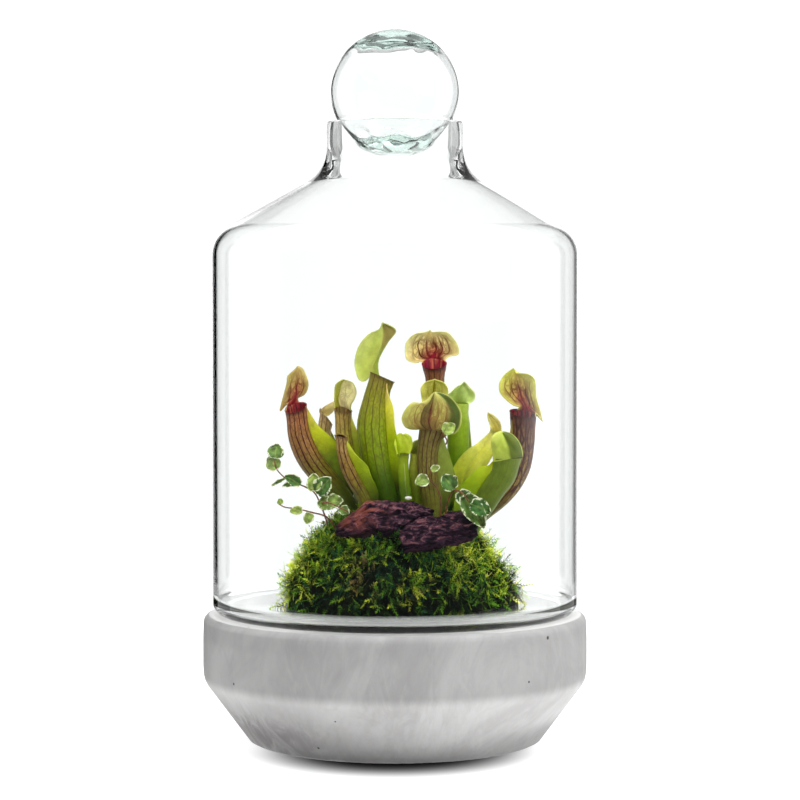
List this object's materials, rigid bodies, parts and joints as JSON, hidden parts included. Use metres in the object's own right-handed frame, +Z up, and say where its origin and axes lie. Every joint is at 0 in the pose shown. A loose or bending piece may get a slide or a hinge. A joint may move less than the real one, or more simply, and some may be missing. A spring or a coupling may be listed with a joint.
{
  "type": "glass plant terrarium",
  "caption": "Planted glass bottle on a concrete bowl, closed by a hollow glass ball, with pitcher plants, moss, bark and creeping fig inside.",
  "frame": {"origin": "middle of the flat foot of the concrete bowl, on the surface that it stands on", "axes": "+Z up along the axis of the bowl, jar and ball, -Y towards the viewer of the picture, +X to the viewer's right"},
  "size_m": [0.2202, 0.2202, 0.4077],
  "materials": {
    "concrete": "satin cast concrete, marbled",
    "jar_glass": "clear polished glass",
    "ball_glass": "clear polished aqua glass",
    "soil": "damp matte peat",
    "moss": "soft matte moss",
    "bark": "rough damp bark",
    "perlite": "matte grain",
    "pitcher_green": "waxy leaf with fine veins",
    "pitcher_red": "waxy leaf with dark red veins",
    "fig_leaf": "satin leaf with a cream edge"
  },
  "bodies": {
    "root": {"concrete_bowl": "concrete", "glass_jar": "jar_glass", "glass_ball": "ball_glass", "soil": "soil", "moss": "moss", "bark_lower": "bark", "bark_upper": "bark", "perlite_grain": "perlite", "pitcher_back_left": "pitcher_green", "pitcher_left": "pitcher_green", "pitcher_tall": "pitcher_green", "pitcher_behind_front": "pitcher_green", "pitcher_green": "pitcher_green", "pitcher_small_right": "pitcher_green", "pitcher_right_front": "pitcher_green", "pitcher_young": "pitcher_green", "pitcher_slender": "pitcher_green", "pitcher_far_left": "pitcher_red", "pitcher_low_left": "pitcher_red", "pitcher_red_throat": "pitcher_red", "pitcher_front": "pitcher_red", "pitcher_far_right": "pitcher_red", "fig_left": "fig_leaf", "fig_left_low": "fig_leaf", "fig_right": "fig_leaf", "fig_right_trailing": "fig_leaf"}
  },
  "joints": []
}
